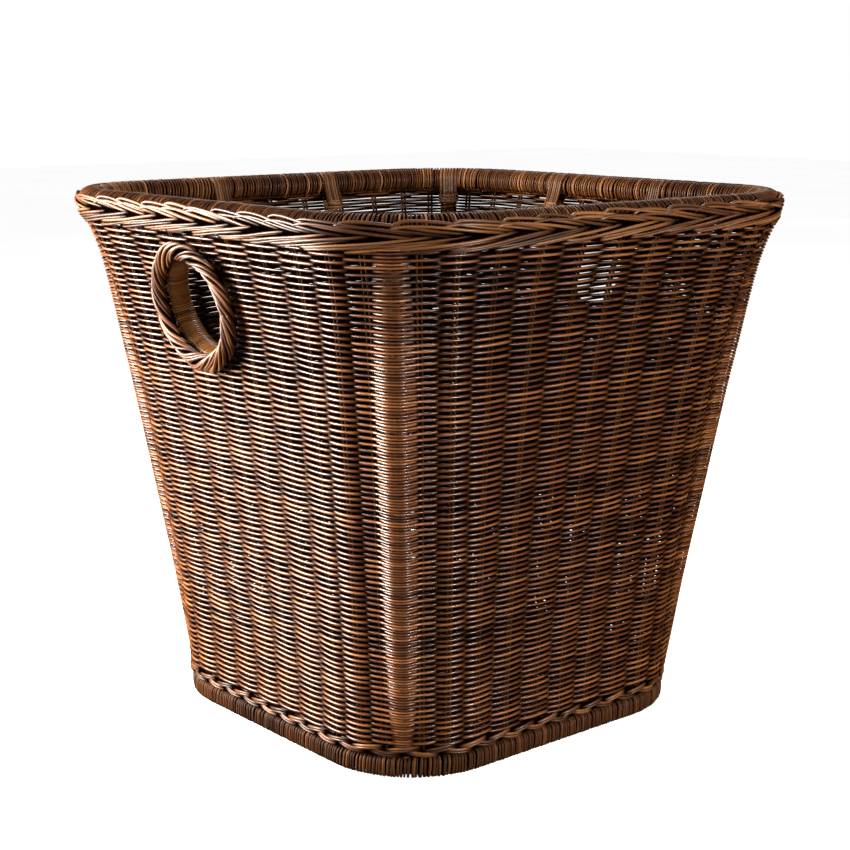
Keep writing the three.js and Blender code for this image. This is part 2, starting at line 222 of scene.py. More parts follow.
GRAIN_SHIFT = 40                       # how far apart the grain of a dark and a pale reed lie
ATTRIBUTES = (("strand", "FLOAT", "value"), ("tuck", "FLOAT", "value"),
              ("lay", "FLOAT_VECTOR", "vector"))


def unit(vectors):
    return vectors / np.maximum(np.linalg.norm(vectors, axis=-1, keepdims=True), 1e-9)


def tube_quads(shape, keep):
    """Faces of tubes whose vertices are counted by reed, station and side, with end caps."""
    sides = shape[2]
    index = np.arange(np.prod(shape)).reshape(shape)
    near, far = index[:, :-1], index[:, 1:]
    quads = np.stack([near, np.roll(near, -1, 2), np.roll(far, -1, 2), far], -1)
    if keep is not None:
        quads = quads[keep[:, :-1] & keep[:, 1:]]
    caps = []
    for end, order in ((0, [0, 3, 2, 1]), (-1, [0, 1, 2, 3])):
        for k in range(1, sides - 1, 2):
            corners = index[:, end][:, [0, k, k + 1, k + 2]]
            caps.append(corners[:, order])
    return np.concatenate([quads.reshape(-1, 4), *caps])


def tubes(centres, facing, half_width, half_depth, sides=6, tuck=0.0, keep=None, shade=None,
          tuck_behind=None):
    """Reeds of elliptical section along centres, an array of reeds by stations by 3.

    facing is the direction of each section's half_depth. tuck, from 0 to 1, says how deep in
    the weave a station is, and tuck_behind how deep it is as seen from the other side; the
    materials paint shade into a reed's colour by them. keep marks the stations that are made.
    shade, from 0 to 1, is the reed's own tone, and is drawn at random where none is given.

    Each vertex carries its tone as strand, its tuck, and lay: metres along the reed, metres
    round it, and its tone spread out, so that the grain of one reed isn't its neighbour's.
    """
    reeds, stations = centres.shape[:2]
    run = unit(np.gradient(centres, axis=1))
    facing = np.broadcast_to(facing, centres.shape)
    depth = unit(facing - run * np.sum(facing * run, axis=-1, keepdims=True))
    across = np.cross(run, depth)
    angle = 2 * math.pi * (np.arange(sides) + 0.5) / sides
    wide = np.broadcast_to(half_width, (reeds, stations))[..., None, None]
    deep = np.broadcast_to(half_depth, (reeds, stations))[..., None, None]
    points = (
        centres[:, :, None, :]
        + across[:, :, None, :] * wide * np.cos(angle)[:, None]
        + depth[:, :, None, :] * deep * np.sin(angle)[:, None]
    )
    steps = np.linalg.norm(np.diff(centres, axis=1), axis=-1)
    length = np.concatenate([np.zeros((reeds, 1)), np.cumsum(steps, axis=1)], axis=1)
    if shade is None:
        shade = rng.random((reeds, 1))
    shape = (reeds, stations, sides)
    shade = np.broadcast_to(np.broadcast_to(shade, (reeds, stations))[..., None], shape)
    along = np.broadcast_to(length[..., None], shape)
    around = np.broadcast_to(angle * np.mean(half_width), shape)
    lay = np.stack([along * MM, around * MM, shade * GRAIN_SHIFT], -1)

    if tuck_behind is None:
        tuck_behind = tuck
    tuck, tuck_behind = (
        np.broadcast_to(np.asarray(amount, float), (reeds, stations))[..., None]
        for amount in (tuck, tuck_behind)
    )
    # Each vertex mixes tuck and tuck_behind by which way it faces, so each side of a reed gets its
    # own painted shade.
    in_front = 0.5 + 0.5 * np.cos(angle)
    tuck = np.broadcast_to(tuck * in_front + tuck_behind * (1 - in_front), shape)
    return {
        "points": points.reshape(-1, 3),
        "quads": tube_quads(shape, keep),
        "strand": shade.reshape(-1),
        "tuck": tuck.reshape(-1),
        "lay": lay.reshape(-1, 3),
    }


def make_piece(name, parts, material, slot, *nodes):
    """One object from several tubes() results. It stands for the CAD nodes named.

    Vertices of stations that aren't made are left out.
    """
    offset = 0
    quads = []
    for part in parts:
        quads.append(part["quads"] + offset)
        offset += len(part["points"])
    quads = np.concatenate(quads)
    points = np.concatenate([part["points"] for part in parts]) * MM
    used = np.unique(quads)
    renumber = np.zeros(len(points), dtype=np.int64)
    renumber[used] = np.arange(len(used))
    quads = renumber[quads]

    mesh = bpy.data.meshes.new(name)
    mesh.vertices.add(len(used))
    mesh.vertices.foreach_set("co", points[used].astype(np.float32).ravel())
    mesh.loops.add(quads.size)
    mesh.loops.foreach_set("vertex_index", quads.astype(np.int32).ravel())
    mesh.polygons.add(len(quads))
    mesh.polygons.foreach_set("loop_start", np.arange(0, quads.size, 4, dtype=np.int32))
    mesh.update(calc_edges=True)
    mesh.shade_smooth()
    for key, kind, field in ATTRIBUTES:
        values = np.concatenate([part[key] for part in parts])[used].astype(np.float32)
        mesh.attributes.new(key, kind, "POINT").data.foreach_set(field, values.ravel())
    mesh.materials.append(material)
    piece = bpy.data.objects.new(name, mesh)
    bpy.context.scene.collection.objects.link(piece)
    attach(piece, "root")
    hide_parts(*nodes)


# ---- materials ------------------------------------------------------------------------------

def linear(red, green, blue):
    """A colour given as 0 to 255 screen values, as linear values with alpha."""
    def one(value):
        value /= 255
        return value / 12.92 if value <= 0.04045 else ((value + 0.055) / 1.055) ** 2.4
    return one(red), one(green), one(blue), 1.0


class Nodes:
    """Short calls for building one material's node tree.

    noise() scales its vector before the noise, math() and mix() take outputs or plain values,
    and spread() maps one range to another.
    """

    def __init__(self, name):
        self.material = bpy.data.materials.new(name)
        self.material.use_nodes = True
        self.tree = self.material.node_tree
        self.shader = self.tree.nodes["Principled BSDF"]

    def add(self, kind, **settings):
        node = self.tree.nodes.new(kind)
        for key, value in settings.items():
            setattr(node, key, value)
        return node

    def join(self, output, socket):
        self.tree.links.new(output, socket)

    def attribute(self, name, output):
        return self.add("ShaderNodeAttribute", attribute_name=name).outputs[output]

    def noise(self, vector, scale, detail=2.0, roughness=0.5):
        mapping = self.add("ShaderNodeMapping")
        mapping.inputs["Scale"].default_value = scale
        self.join(vector, mapping.inputs["Vector"])
        noise = self.add("ShaderNodeTexNoise")
        noise.inputs["Scale"].default_value = 1.0
        noise.inputs["Detail"].default_value = detail
        noise.inputs["Roughness"].default_value = roughness
        self.join(mapping.outputs["Vector"], noise.inputs["Vector"])
        return noise.outputs["Fac"]

    def math(self, operation, first, second):
        node = self.add("ShaderNodeMath", operation=operation)
        for value, socket in ((first, node.inputs[0]), (second, node.inputs[1])):
            if isinstance(value, (int, float)):
                socket.default_value = value
            else:
                self.join(value, socket)
        return node.outputs[0]

    def spread(self, value, low, high, to_low, to_high):
        node = self.add("ShaderNodeMapRange", clamp=True)
        for key, number in zip(("From Min", "From Max", "To Min", "To Max"),
                               (low, high, to_low, to_high)):
            node.inputs[key].default_value = number
        self.join(value, node.inputs["Value"])
        return node.outputs["Result"]

    def ramp(self, value, stops):
        node = self.add("ShaderNodeValToRGB")
        elements = node.color_ramp.elements
        while len(elements) < len(stops):
            elements.new(0.5)
        for element, (position, colour) in zip(elements, stops):
            element.position = position
            element.color = colour
        self.join(value, node.inputs["Fac"])
        return node.outputs["Color"]

    def mix(self, factor, first, second):
        node = self.add("ShaderNodeMix", data_type="RGBA")
        sockets = ((factor, node.inputs[0]), (first, node.inputs[6]), (second, node.inputs[7]))
        for value, socket in sockets:
            if isinstance(value, (int, float, tuple)):
                socket.default_value = value
            else:
                self.join(value, socket)
        return node.outputs[2]


TONE_STEPS = (0.32, 0.52, 0.70, 0.92)
WORN = linear(184, 134, 84)
SPECK = linear(24, 13, 8)
# Painted shade for creases and the gaps between reeds.
CREASE_SHADE = linear(5, 2, 1)
WHITE, BLACK = (1, 1, 1, 1), (0, 0, 0, 1)


def reed_material(name, tones, roughness=(0.26, 0.46), coat=0.45, coat_roughness=0.16,
                  specular=0.5):
    """Varnished reed or cane: tones from dark to light vary by reed and along it.

    Noise on lay is scaled along the reed, round it and from reed to reed.
    """
    n = Nodes(name)
    lay = n.attribute("lay", "Vector")
    strand = n.attribute("strand", "Fac")
    tuck = n.attribute("tuck", "Fac")
    place = n.add("ShaderNodeTexCoord").outputs["Object"]

    fibre = n.noise(lay, (45, 2600, 1), detail=3.0, roughness=0.6)
    patch = n.noise(lay, (14, 90, 1), detail=2.0)
    stain = n.noise(place, (9, 9, 9), detail=2.0)
    knots = n.noise(lay, (130, 500, 1), detail=1.0)
    scuffs = n.noise(lay, (30, 700, 1))

    tone = n.math("MULTIPLY", strand, 0.42)
    tone = n.math("ADD", tone, n.math("MULTIPLY", patch, 0.50))
    tone = n.math("ADD", tone, n.math("MULTIPLY", fibre, 0.26))
    tone = n.math("ADD", tone, n.math("MULTIPLY", stain, 0.16))
    colour = n.ramp(tone, [(at, linear(*rgb)) for at, rgb in zip(TONE_STEPS, tones)])

    # Varnish is rubbed thin on the raised parts, and the creases, by tuck, are painted dark as
    # shade.
    worn = n.spread(scuffs, 0.52, 0.74, 0, 0.2)
    raised = n.spread(tuck, 0.0, 0.6, 1.0, 0.0)
    colour = n.mix(n.math("MULTIPLY", worn, raised), colour, WORN)
    specks = n.spread(knots, 0.70, 0.80, 0.0, 0.6)
    colour = n.mix(specks, colour, SPECK)
    crease_shade = n.spread(tuck, 0.13, 0.58, 0.0, 1.0)
    colour = n.mix(crease_shade, colour, CREASE_SHADE)
    n.join(colour, n.shader.inputs["Base Color"])

    n.join(n.spread(fibre, 0.3, 0.7, *roughness), n.shader.inputs["Roughness"])
    # The painted crease shade also takes away the coat and the reflection.
    unshaded = n.math("SUBTRACT", 1.0, crease_shade)
    n.join(n.math("MULTIPLY", unshaded, coat), n.shader.inputs["Coat Weight"])
    n.join(n.math("MULTIPLY", unshaded, specular), n.shader.inputs["Specular IOR Level"])
    n.join(n.mix(crease_shade, WHITE, BLACK), n.shader.inputs["Specular Tint"])
    n.shader.inputs["Coat Roughness"].default_value = coat_roughness

    bump = n.add("ShaderNodeBump")
    bump.inputs["Strength"].default_value = 0.35
    bump.inputs["Distance"].default_value = 0.00012
    n.join(fibre, bump.inputs["Height"])
    n.join(bump.outputs["Normal"], n.shader.inputs["Normal"])
    return n.material


WEAVE = reed_material("weave_reed", [(42, 18, 6), (82, 41, 16), (120, 67, 30), (158, 98, 52)],
                      roughness=(0.27, 0.45), coat=0.5, coat_roughness=0.17)
STAKE = reed_material("stake_reed", [(34, 17, 8), (60, 33, 16), (88, 52, 28), (112, 72, 42)])
TRIM = reed_material("trim_reed", [(34, 15, 5), (72, 38, 15), (110, 64, 30), (156, 104, 57)],
                     roughness=(0.36, 0.54), coat=0.22, coat_roughness=0.26, specular=0.4)
RIM_CANE = reed_material("rim_cane", [(30, 13, 4), (70, 36, 13), (108, 63, 30), (176, 122, 74)],
                         roughness=(0.42, 0.58), coat=0.08, coat_roughness=0.2, specular=0.22)
FOOT_CANE = reed_material("foot_cane", [(28, 11, 3), (50, 24, 8), (74, 40, 16), (104, 62, 28)],
                          roughness=(0.5, 0.7), coat=0.0, specular=0.16)
POST_CANE = reed_material("post_cane", [(74, 40, 13), (116, 69, 25), (148, 95, 40), (176, 124, 60)])
TIE_CANE = reed_material("tie_cane", [(52, 25, 10), (88, 50, 24), (120, 76, 42), (158, 112, 72)],
                         roughness=(0.36, 0.5), coat=0.2, coat_roughness=0.3, specular=0.3)
CORE = reed_material("pole_core", [(16, 8, 4), (24, 13, 7), (32, 18, 10), (40, 24, 14)], coat=0.0)
BASE = reed_material("base_reed", [(40, 20, 8), (70, 39, 18), (100, 62, 32), (130, 90, 52)],
                     coat=0.2)


# ---- woven walls ----------------------------------------------------------------------------

def pair_share(index):
    """Share of a side's half, from an index that counts its stake pairs from the middle.

    The corner post is CORNER_INDEX, and places between two pairs are fractions.
    """
    at = PAIR_SHARES + [1.0]
    return np.sign(index) * np.interp(np.abs(index), np.arange(len(at)), at)


def row_heights():
    """Heights of the weaving rows: packed closely low down and looser near the rim."""
    heights = [WEAVE_START_Z]
    while heights[-1] < WEAVE_END_Z:
        pitch = 1.70 + 0.14 * smoothstep(heights[-1], 150, 270)
        pitch += 0.18 * smoothstep(heights[-1], 284, 302)
        heights.append(heights[-1] + float(pitch))
    return np.array(heights)


def wander(loop, z):
    """How far a row drifts up or down: the same for its neighbours, so that rows stay apart."""
    drift = 0.0
    for waves, size, twist in ((3, 0.5, 0.062), (8, 0.32, -0.11), (19, 0.16, 0.18)):
        drift = drift + size * np.sin(waves * loop + twist * z + waves)
    return drift * smoothstep(z, WEAVE_START_Z, 60) * (1 - smoothstep(z, 296, 312))


def round_the_rib(depth, share, half, corner, post, radius):
    """Row depths, with the rows drawn tight round the outside of the corner posts."""
    length = side_length(half, corner)
    along = (1 - np.abs(share)) * length                 # distance from the corner's diagonal
    bulge = along**2 / (2 * corner)
    middle = post * math.sqrt(2) + RIB_SHIFT - diagonal_reach(half, corner)
    bend = RIB_RADIUS - radius
    last_pair = PAIR_SHARES[-1]
    anchor = (1 - last_pair) * length

    # A pair flanks the post on either side; each station is drawn towards the nearer one.
    flanking = np.flatnonzero(np.abs(np.abs(share[0]) - last_pair) < 1e-6)
    station = np.arange(share.shape[1])
    nearer = flanking[np.argmin(np.abs(station[:, None] - flanking), axis=1)]
    end_depth = (depth - bulge)[:, nearer]
    reach = np.hypot(anchor, end_depth - middle)
    tangent = np.arctan2(end_depth - middle, anchor) + np.arccos(np.clip(bend / reach, -1, 1))
    touch = bend * np.cos(tangent)
    touch_height = middle + bend * np.sin(tangent)
    on_bend = middle + np.sqrt(np.maximum(bend**2 - along**2, 0))
    slope = (end_depth - touch_height) / (anchor - touch)
    on_line = touch_height + slope * (along - touch)
    height = np.where(along < touch, on_bend, on_line)
    return np.where(along < anchor, height + bulge, depth)


def weave_stations():
    """Step, side, index and share of the stations of a row, which begins at the far corner."""
    per_side = 2 * CORNER_INDEX * SAMPLES_PER_PAIR
    step = np.arange(4 * per_side + 1)
    side = (step // per_side + 2) % 4
    index = (step % per_side) / SAMPLES_PER_PAIR - CORNER_INDEX
    return step, side, index, pair_share(index)


def weave_swing(z, radius, step):
    """How far a row swings to either side of the stakes: a little more at some than others."""
    rows = len(z)
    fullness = 1 + 0.10 * rng.standard_normal((rows, 4 * 2 * CORNER_INDEX + 1))
    knots = np.arange(fullness.shape[1]) * SAMPLES_PER_PAIR
    fullness = np.stack([np.interp(step, knots, row) for row in fullness])
    swing = (wall_thickness(z) / 2 - radius) * np.clip(fullness, 0.75, 1.08)
    return swing * (0.84 + 0.16 * smoothstep(z, 200, 270))


def smoothed_rows(depth):
    """Depths averaged over neighbouring stations, carried round where a row closes."""
    kernel = np.array([1, 2, 3, 2, 1]) / 9
    wrapped = np.concatenate([depth[:, -3:-1], depth, depth[:, 1:3]], axis=1)
    return np.stack([np.convolve(row, kernel, "valid") for row in wrapped])


def weave_tones(rows, step):
    """A tone for each station: a row is made of several reeds, each of its own tone."""
    reeds = 8
    shade = rng.random((rows, reeds))
    joint = np.sort(rng.random((rows, reeds - 1)), axis=1) * len(step)
    reed = (step[None, :, None] > joint[:, None, :]).sum(axis=2)
    return np.take_along_axis(shade, reed, axis=1)


def make_weave():
    """The rows of all four walls, in bands. Each row is one closed line round the basket."""
    heights = row_heights()[:, None]
    rows = len(heights)
    number = np.arange(rows)[:, None]
    step, side, index, share = weave_stations()
    loop = (side + share / 2) * math.pi / 2

    radius = REED_RADIUS - 0.04 * smoothstep(heights, 200, 300)
    radius = radius * (1 + 0.05 * rng.standard_normal((rows, 1)))
    radius = radius * (1 + 0.05 * np.sin(2 * loop + 7 * rng.random((rows, 1))))
    jitter = 0.10 * rng.standard_normal((rows, 1)) * np.sin(6 * loop + 7 * rng.random((rows, 1)))
    z = heights + wander(loop, heights) + jitter
    half, corner, post = (wall_value(column, z) for column in (HALF, CORNER, POST))
    x, y, out_x, out_y = rounded_square(half, corner, side, share)

    # Each row passes outside one stake pair and inside the next; its neighbours do the opposite.
    wave = np.cos(math.pi * (index + number))
    wave = wave * (1.35 - 0.35 * wave**2)
    flat_depth = -wall_thickness(z) / 2 + weave_swing(z, radius, step) * wave
    depth = round_the_rib(flat_depth, np.broadcast_to(share, z.shape), half, corner, post, radius)
    depth = smoothed_rows(depth)
    centres = stacked(x + out_x * depth, y + out_y * depth, z)

    # tuck and tuck_behind also paint shade: reeds tucked into the gaps between rows are painted
    # dark, seen from outside and from inside.
    lifted = smoothstep(depth - flat_depth, 0.5, 4.0)
    tuck = np.clip(0.5 - 0.5 * wave, 0, 1) * (1 - lifted)
    tuck_behind = np.clip(0.5 + 0.5 * wave, 0.28, 1) * (1 - lifted) + lifted
    keep = np.ones((rows, len(step)), dtype=bool)
    for hole_side in HOLE_X:
        keep &= ~((side == hole_side) & in_hand_hole(hole_side, centres, WEAVE_ENDS_AT))
    shade = weave_tones(rows, step)

    # Behind the stakes the reed is pressed flat and fills the gaps, less so near the rim.
    spread = 0.7 - 0.5 * smoothstep(heights, 225, 270)
    height = radius * (1 + spread * tuck - 0.16 * lifted)
    walls = [f"{name}_woven_wall" for name in SIDES]
    for band, first in enumerate(range(0, rows, ROWS_PER_BAND)):
        part = slice(first, first + ROWS_PER_BAND)
        reeds = tubes(centres[part], UP, radius[part], height[part], tuck=tuck[part],
                      keep=keep[part], shade=shade[part], tuck_behind=tuck_behind[part])
        make_piece(f"weave_band_{band:02d}", [reeds], WEAVE, "weave", *walls)


def make_stakes():
    """Pairs of upright stakes between the rows that pass outside and inside."""
    z = np.linspace(17.0, 317.0, 61)
    half, corner = wall_value(HALF, z), wall_value(CORNER, z)
    depth = -wall_thickness(z) / 2
    for side, name in enumerate(SIDES):
        centres = []
        for index in range(1 - CORNER_INDEX, CORNER_INDEX):
            for offset in (-STAKE_OFFSET, STAKE_OFFSET):
                share = pair_share(index) + offset / side_length(half, corner)
                x, y, out_x, out_y = rounded_square(half, corner, side, share)
                centres.append(stacked(x + out_x * depth, y + out_y * depth, z))
        centres = np.array(centres)
        keep = np.ones(centres.shape[:2], dtype=bool)
        if side in HOLE_X:
            keep &= ~in_hand_hole(side, centres, WEAVE_ENDS_AT)
        # tuck=0.35 paints the stakes partly dark, as shade between the rows.
        reeds = tubes(centres, outward(side), STAKE_RADIUS, STAKE_RADIUS, tuck=0.35, keep=keep)
        make_piece(f"{name}_stakes", [reeds], STAKE, "weave", f"{name}_woven_wall")


# ---- windings -------------------------------------------------------------------------------

COVERED_AT = math.radians(-32)         # where the border lies over the rim's turns
TURNS_PER_LENGTH = 14                  # turns wound from one length of cane
PALE_TURNS = 0.07                      # share of turns that are pale


def winding(centre, out, over, section, half_width, half_depth, tuck=0.0, shade=None):
    """Cane wound round a pole.

    centre, out and over give the pole's middle and its section's two axes for an array of
    turns by stations. section is the pole's section, as distances along those axes.
    """
    along_out, along_over = section
    radial = out * along_out[..., None] + over * along_over[..., None]
    return tubes(centre + radial, unit(radial), half_width, half_depth, tuck=tuck, shade=shade)


def loop_angles(count, steps, start):
    """Angles of one whole turn, for a number of turns."""
    angle = start + 2 * math.pi * np.arange(steps + 1) / steps
    return np.broadcast_to(angle, (count, steps + 1))


def wound_tones(count):
    """A tone for each turn: it drifts from one length of cane to the next; a few are pale."""
    lengths = rng.random(count // TURNS_PER_LENGTH + 2)
    shade = np.interp(np.arange(count) / TURNS_PER_LENGTH, np.arange(len(lengths)), lengths)
    shade = 0.2 + 0.4 * shade + 0.08 * rng.standard_normal(count)
    return np.where(rng.random(count) < PALE_TURNS, 0.95, np.clip(shade, 0, 1))[:, None]


def wound_ring(half, corner, z, count, steps, start, reach, squareness, half_depth, unevenness,
               fill, hidden=0.0):
    """Closely wound turns of cane, of uneven width, round a rounded-square pole.

    Each turn has a number of steps and starts at an angle of the pole's section. reach is the
    section's half size, and squareness is 2 for a round section and more for a square one.
    fill is the share of the pole's length that the cane covers. hidden, from 0 to 1, is how
    dark the painted shade makes the turns where other pieces cover their outside.
    """
    width = np.exp(unevenness * rng.standard_normal(count))
    width = width / width.sum() * 4                      # in turns round the ring, one a side
    middle = (np.cumsum(width) - width / 2)[:, None]
    width = width[:, None]
    angle = loop_angles(count, steps, start)
    tilt = 0.12 * rng.standard_normal((count, 1)) * np.sin(angle + 1.0)
    turn = middle + ((angle - start) / (2 * math.pi) + tilt) * width
    centre, out = ring_place(half, corner, turn)
    raised = reach + 0.28 * rng.random((count, 1))
    size = raised / (np.abs(np.cos(angle))**squareness
                     + np.abs(np.sin(angle))**squareness)**(1 / squareness)
    over = np.broadcast_to(UP, out.shape)
    section = (size * np.cos(angle), size * np.sin(angle))
    half_width = width * side_length(half, corner) * fill
    # covered marks the turns' outer side under the border, which is painted dark as shade.
    covered = smoothstep(np.cos(angle - COVERED_AT), math.cos(1.15), math.cos(0.95))
    return winding(centre + UP * z, out, over, section, half_width, half_depth, hidden * covered,
                   wound_tones(count))


def ring_core(half, corner, z, radius, tuck=1.0):
    """A plain round pole bent to a rounded square; tuck 1 by default paints it all in shade."""
    turn = np.linspace(0, 4, 241)[None, :]
    centre = ring_place(half, corner, turn)[0]
    return tubes(centre + UP * z, UP, radius, radius, 12, tuck)


def make_rim():
    wound = wound_ring(RIM_HALF, RIM_CORNER, RIM_Z, count=590, steps=18, start=-2.2, reach=7.8,
                       squareness=2.0, half_depth=0.72, unevenness=0.12, fill=0.68, hidden=0.85)
    core = ring_core(RIM_HALF, RIM_CORNER, RIM_Z, radius=7.4)
    make_piece("rim_winding", [wound], RIM_CANE, "rim_cane", "rim_binding")
    make_piece("rim_core", [core], CORE, "pole", "rim_pole")


def make_foot():
    wound = wound_ring(FOOT_HALF, FOOT_CORNER, FOOT_Z, count=430, steps=20, start=1.6, reach=5.6,
                       squareness=4.5, half_depth=0.6, unevenness=0.14, fill=0.88)
    core = ring_core(FOOT_HALF, FOOT_CORNER, FOOT_Z, radius=5.3)
    make_piece("foot_winding", [wound], FOOT_CANE, "foot_cane", "foot_binding")
    make_piece("foot_core", [core], CORE, "pole", "foot_hoop")


# ---- posts and their ties -------------------------------------------------------------------

POST_HEIGHTS = np.linspace(14.5, 313, 90)
POST_PITCH = 2.3                       # from one turn of a post's cane to the next
POST_CANE_HALF_WIDTH, POST_CANE_HALF_DEPTH = 0.44 * POST_PITCH, 0.65
TIE_STRIPS = 6
SIDE_TIE_WIDTH, CORNER_TIE_WIDTH = 12.6, 13
TIE_REACH, TIE_SUNK = 9.0, 0.9         # from the rim's middle, and less where a tie begins
TIE_HALF_DEPTH, LASHING_HALF_WIDTH = 0.6, 0.95
LASHING_HEIGHTS = (306.6, 308.5, 310.4)


def post_spreads(side):
    """Places of a side's two posts, as shares of its half width; the front's clear its hole."""
    if side != FRONT:
        return {"first": -0.27, "second": 0.27}
    return {"first": -0.39, "second": 0.19}


def side_post_line(side, spread):
    """Middle line of a side post, which stands against the inside of the weave."""
    z = POST_HEIGHTS
    half = wall_value(HALF, z)
    inset = wall_thickness(z) + SIDE_POST_GAP + SIDE_POST_RADIUS * np.hypot(1, wall_slope(z))
    x, y = turned(half - inset, spread * half, side)
    return stacked(x, y, z)


def corner_post_line(side):
    """Middle line of a corner post, which fills the weave's corner rib."""
    post = wall_value(POST, POST_HEIGHTS)
    x, y = turned(post, post, side)
    return stacked(x, y, POST_HEIGHTS)


def side_post_inner(z):
    """How far outside the rim pole's middle a side post's inner face is."""
    half = wall_value(HALF, z)
    lean = np.hypot(1, wall_slope(z))
    return half - wall_thickness(z) - SIDE_POST_GAP - 2 * SIDE_POST_RADIUS * lean - RIM_HALF


def corner_post_inner(z):
    """The same for a corner post, along the diagonal."""
    lean = np.hypot(1, wall_slope(z))
    rim_reach = diagonal_reach(RIM_HALF, RIM_CORNER)
    return wall_value(POST, z) * math.sqrt(2) - CORNER_POST_RADIUS * lean - rim_reach


def wound_post(line, out, radius):
    """A post with cane wound along all of it."""
    steps = 12
    distance = np.concatenate([[0], np.cumsum(np.linalg.norm(np.diff(line, axis=0), axis=1))])
    count = int(distance[-1] / POST_PITCH)
    angle = loop_angles(count, steps, 0.0)
    at = (np.arange(count)[:, None] + angle / (2 * math.pi)) * POST_PITCH
    centre = np.stack([np.interp(at, distance, line[:, k]) for k in range(3)], -1)
    axis = unit(line[-1] - line[0])
    first = unit(out - axis * np.dot(out, axis))
    second = np.cross(axis, first)
    reach = radius - 0.7 + 0.12 * np.abs(rng.standard_normal((count, 1)))
    section = (reach * np.cos(angle), reach * np.sin(angle))
    first = np.broadcast_to(first, centre.shape)
    second = np.broadcast_to(second, centre.shape)
    turns = winding(centre, first, second, section, POST_CANE_HALF_WIDTH, POST_CANE_HALF_DEPTH)
    core_radius = radius - 0.9
    # The core is painted all in crease shade (tuck 1.0), as it shows only between the turns.
    core = tubes(line[None], out, core_radius, core_radius, 10, 1.0)
    return [turns, core]


def make_posts():
    for side, (name, corner) in enumerate(zip(SIDES, CORNERS)):
        for label, spread in post_spreads(side).items():
            wound = wound_post(side_post_line(side, spread), outward(side), SIDE_POST_RADIUS)
            node = f"{name}_post_{label}"
            make_piece(f"{node}_wound", wound, POST_CANE, "pole", node)
        wound = wound_post(corner_post_line(side), outward(side, diagonal=True),
                           CORNER_POST_RADIUS)
        node = f"{corner}_corner_post"
        make_piece(f"{node}_wound", wound, RIM_CANE, "pole", node)


def tie_strips(origin, out, post_inner, width):
    """Flat cane side by side over the rim's inner half and down onto the post.

    origin is a point of the rim pole's middle line, at z = 0. post_inner gives how far outside
    it the post's inner face is at a height.
    """
    angle = np.radians(np.linspace(112, 176, 8))
    sunk = smoothstep(-angle, -math.radians(122), -math.radians(112))
    reach = TIE_REACH - TIE_SUNK * sunk
    profile = [(r * math.cos(a), RIM_Z + r * math.sin(a)) for r, a in zip(reach, angle)]
    profile += [(post_inner(z) - 0.9, z) for z in (315.0, 312.5, 310.0, 308.0)]
    profile = np.array(profile)
    sideways = np.cross(UP, out)
    pitch = width / TIE_STRIPS
    centres = []
    for k in range(TIE_STRIPS):
        shift = (k - (TIE_STRIPS - 1) / 2) * pitch
        lift = 0.25 * rng.random()
        line = origin + out * profile[:, :1] + UP * (profile[:, 1:] + lift)
        centres.append(line + sideways * (shift + 0.12 * rng.standard_normal()))
    centres = np.array(centres)
    flat = tubes(centres, centres - origin - UP * RIM_Z, pitch / 2, TIE_HALF_DEPTH)

    # Turns of a lashing round the post hold the strips' lower ends.
    bend = np.radians(np.linspace(-80, 80, 13))
    turns = []
    for z in LASHING_HEIGHTS:
        away = post_inner(z) - 1.9 + 6.2 * (1 - np.cos(bend))
        line = origin + out * away[:, None] + sideways * (7.2 * np.sin(bend))[:, None] + UP * z
        turns.append(line + UP * 0.3 * rng.standard_normal())
    pale = np.full((len(turns), 1), 0.9)
    lashing = tubes(np.array(turns), -out, LASHING_HALF_WIDTH, TIE_HALF_DEPTH, shade=pale)
    return [flat, lashing]


def make_ties():
    for side, (name, corner) in enumerate(zip(SIDES, CORNERS)):
        out = outward(side)
        for label, spread in post_spreads(side).items():
            across = spread * wall_value(HALF, 312.0)
            origin = out * RIM_HALF + np.cross(UP, out) * across
            strips = tie_strips(origin, out, side_post_inner, SIDE_TIE_WIDTH)
            node = f"{name}_tie_{label}"
            make_piece(f"{node}_strips", strips, TIE_CANE, "tie", node)
        out = outward(side, diagonal=True)
        origin = out * diagonal_reach(RIM_HALF, RIM_CORNER)
        strips = tie_strips(origin, out, corner_post_inner, CORNER_TIE_WIDTH)
        node = f"{corner}_corner_tie"
        make_piece(f"{node}_strips", strips, TIE_CANE, "tie", node)


# ---- border and wale ------------------------------------------------------------------------

BORDER_PAIRS = 48
BORDER_REACH = 9.35                    # from the rim's middle to the surface it lies on
BORDER_FOOT = -4.2                     # where that surface turns from an arc to a slope
BORDER_SLOPE = (0.42, 0.91)            # the slope's direction, outwards and up


def border_place(turn, rise, depth):
    """A point of the border: rise is measured up the surface that the border lies on.

    The surface is an arc round the rim and, below it, a straight slope down to the wall.
    """
    centre, out = ring_place(RIM_HALF, RIM_CORNER, turn)
    angle = np.maximum(rise, BORDER_FOOT) / BORDER_REACH
    below = np.minimum(rise - BORDER_FOOT, 0)
    facing = out * np.cos(angle)[..., None] + UP * np.sin(angle)[..., None]
    uphill = out * BORDER_SLOPE[0] + UP * BORDER_SLOPE[1]
    point = centre + UP * RIM_Z + facing * (BORDER_REACH + depth)[..., None]
    return point + uphill * below[..., None], facing


